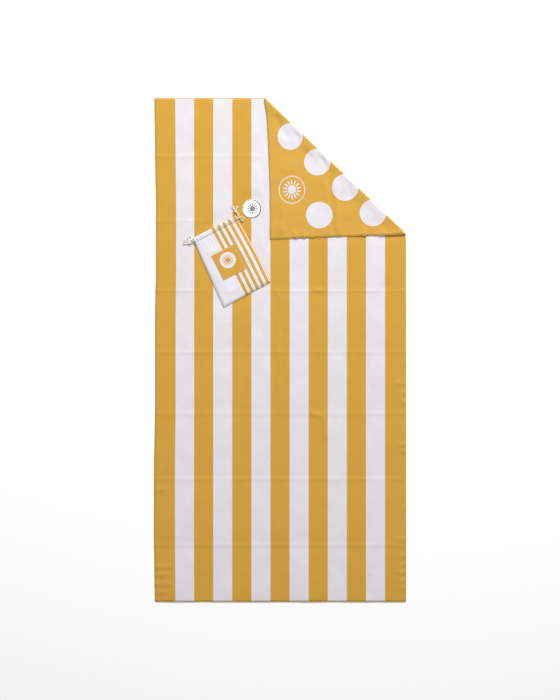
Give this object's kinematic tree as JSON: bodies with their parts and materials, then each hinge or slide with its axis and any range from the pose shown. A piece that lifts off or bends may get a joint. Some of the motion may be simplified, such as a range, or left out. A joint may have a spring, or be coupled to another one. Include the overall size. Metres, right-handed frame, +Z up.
{
  "type": "beach towel",
  "caption": "Striped beach towel laid flat with one corner turned over to its dotted back, with a small striped drawstring pouch and a round card tag lying on it.",
  "frame": {"origin": "centre of the towel's outline on its underside, the plane that it lies on", "axes": "+Y along the towel's length towards the end with the turned corner, +X across it towards that corner, +Z up out of the striped face"},
  "size_m": [0.8, 1.6, 0.0098],
  "materials": {
    "towel_cloth": "matt printed microfibre, yellow and white stripes in front and white dots on yellow behind",
    "edge_thread": "overlocked yellow polyester thread",
    "pouch_cloth": "matt printed microfibre, white with narrow yellow stripes",
    "patch_cloth": "plain yellow woven patch with a white sun badge",
    "cotton_cord": "undyed twisted cotton",
    "tag_card": "white coated card with a printed ring"
  },
  "bodies": {
    "towel": {"towel_main": "towel_cloth", "edge_left": "edge_thread", "edge_right": "edge_thread", "edge_top": "edge_thread", "edge_bottom": "edge_thread"},
    "corner": {"towel_corner": "towel_cloth", "corner_edge_top": "edge_thread", "corner_edge_right": "edge_thread"},
    "pouch": {"pouch_front": "pouch_cloth", "pouch_back": "pouch_cloth", "pouch_seam_left": "pouch_cloth", "pouch_seam_right": "pouch_cloth", "pouch_seam_bottom": "pouch_cloth", "pouch_patch": "patch_cloth", "pouch_hem_front": "pouch_cloth", "pouch_hem_back": "pouch_cloth"},
    "drawcord_left_body": {"drawcord_left": "cotton_cord", "knot_left": "cotton_cord", "tail_left_upper": "cotton_cord", "tail_left_lower": "cotton_cord"},
    "drawcord_right_body": {"drawcord_right": "cotton_cord", "knot_right": "cotton_cord", "tail_right_upper": "cotton_cord", "tail_right_lower": "cotton_cord"},
    "tag": {"tag_disc": "tag_card"}
  },
  "joints": [
    {"name": "corner_fold", "type": "hinge", "parent": "towel", "child": "corner", "pos_m": [0.175, 0.5835, 0.0032], "axis": [-0.7206, 0.6934, 0], "range_deg": [0, 179.5]},
    {"name": "pouch_lift", "type": "slide", "parent": "towel", "child": "pouch", "axis": [0, 0, 1], "range_m": [0, 0.15]},
    {"name": "drawcord_left_pull", "type": "slide", "parent": "pouch", "child": "drawcord_left_body", "axis": [-0.887, -0.4617, 0], "range_m": [0, 0.004]},
    {"name": "drawcord_right_pull", "type": "slide", "parent": "pouch", "child": "drawcord_right_body", "axis": [0.887, 0.4617, 0], "range_m": [0, 0.004]},
    {"name": "tag_lift", "type": "slide", "parent": "towel", "child": "tag", "axis": [0, 0, 1], "range_m": [0, 0.15]}
  ]
}
